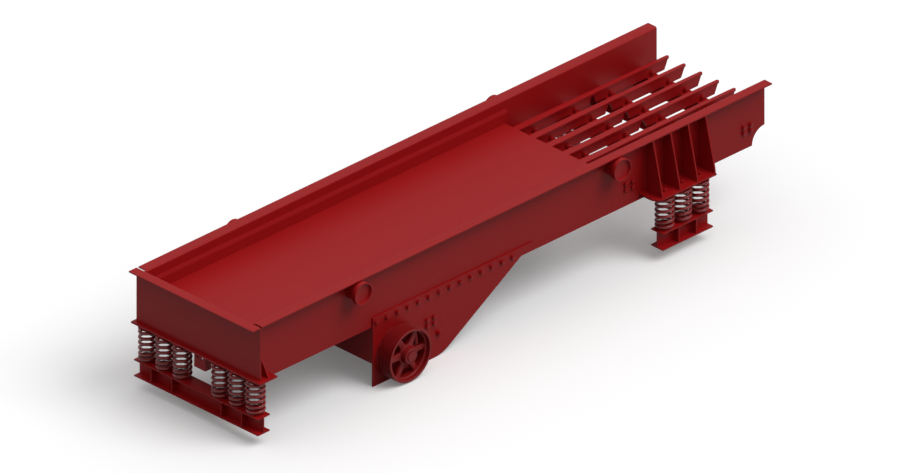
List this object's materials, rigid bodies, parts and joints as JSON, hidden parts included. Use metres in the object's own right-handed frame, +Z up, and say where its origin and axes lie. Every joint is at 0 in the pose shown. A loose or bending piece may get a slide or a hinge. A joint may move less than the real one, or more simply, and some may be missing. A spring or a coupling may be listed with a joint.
{
  "type": "linear vibratory feeder",
  "caption": "Red vibrating feeder: a plate trough with a grizzly section on coil springs, shaken by a geared twin-shaft exciter that a V-belt pulley turns.",
  "frame": {"origin": "centre of the rear spring base's underside, on the trough's centreline", "axes": "+X along the trough to the discharge end, +Y to the left-hand side, +Z up"},
  "size_m": [5.262, 1.48, 0.98],
  "materials": {
    "red_paint": "satin dark red enamel on welded steel plate",
    "bolt_paint": "satin dark red enamel on bolts and nuts",
    "spring_paint": "glossy red enamel on spring steel, with bright highlights",
    "pulley_paint": "satin dark red enamel on cast iron",
    "turned_steel": "turned steel",
    "gear_steel": "cut and oiled gear steel",
    "bearing_steel": "ground bearing steel"
  },
  "bodies": {
    "bases": {"rear_base": "red_paint", "front_base_left": "red_paint", "front_base_right": "red_paint", "rear_spring_1": "spring_paint", "rear_spring_2": "spring_paint", "rear_spring_3": "spring_paint", "rear_spring_4": "spring_paint", "rear_spring_5": "spring_paint", "rear_spring_6": "spring_paint", "front_left_spring_1": "spring_paint", "front_left_spring_2": "spring_paint", "front_left_spring_3": "spring_paint", "front_right_spring_1": "spring_paint", "front_right_spring_2": "spring_paint", "front_right_spring_3": "spring_paint"},
    "trough": {"side_plate_left": "red_paint", "side_plate_right": "red_paint", "rear_wall": "red_paint", "rear_seat": "red_paint", "deck_plate": "red_paint", "deck_beam_1": "red_paint", "deck_beam_2": "red_paint", "deck_beam_3": "red_paint", "deck_beam_4": "red_paint", "liner_left": "red_paint", "liner_right": "red_paint", "grizzly_bar_1": "red_paint", "grizzly_bar_2": "red_paint", "grizzly_bar_3": "red_paint", "grizzly_bar_4": "red_paint", "grizzly_bar_5": "red_paint", "grizzly_bar_6": "red_paint", "grizzly_cross_1": "red_paint", "grizzly_cross_2": "red_paint", "grizzly_cross_3": "red_paint", "grizzly_cross_4": "red_paint", "front_bracket_left": "red_paint", "front_bracket_right": "red_paint", "trunnion_rear_left": "red_paint", "trunnion_rear_right": "red_paint", "trunnion_front_left": "red_paint", "trunnion_front_right": "red_paint", "skirt_left": "red_paint", "skirt_right": "red_paint", "skirt_cross_plate": "red_paint", "skirt_beam": "red_paint", "tie_rod": "red_paint", "exciter_housing": "red_paint", "bearing_drive_near": "bearing_steel", "bearing_drive_far": "bearing_steel", "bearing_driven_near": "bearing_steel", "bearing_driven_far": "bearing_steel", "shaft_cover": "red_paint", "hex_bolts": "bolt_paint"},
    "drive_rotor": {"drive_shaft": "pulley_paint", "drive_gear": "gear_steel", "drive_pulley": "pulley_paint", "pulley_bushing": "pulley_paint"},
    "driven_rotor": {"driven_shaft": "turned_steel", "driven_gear": "gear_steel"}
  },
  "joints": [
    {"name": "stroke", "type": "slide", "parent": "bases", "child": "trough", "axis": [0.866, 0, 0.5], "range_m": [-0.006, 0.006], "stiffness_N_per_m": 2700000, "springref_m": 0.00413, "deforming": ["rear_spring_1", "rear_spring_2", "rear_spring_3", "rear_spring_4", "rear_spring_5", "rear_spring_6", "front_left_spring_1", "front_left_spring_2", "front_left_spring_3", "front_right_spring_1", "front_right_spring_2", "front_right_spring_3"]},
    {"name": "drive_spin", "type": "hinge", "parent": "trough", "child": "drive_rotor", "pos_m": [1.412, 0, 0.122], "axis": [0, 1, 0], "continuous": true},
    {"name": "driven_spin", "type": "hinge", "parent": "trough", "child": "driven_rotor", "pos_m": [1.317, 0, 0.28654], "axis": [0, 1, 0], "continuous": true}
  ],
  "couplings": [
    {"joint": "driven_spin", "follows": "drive_spin", "ratio": -1}
  ]
}
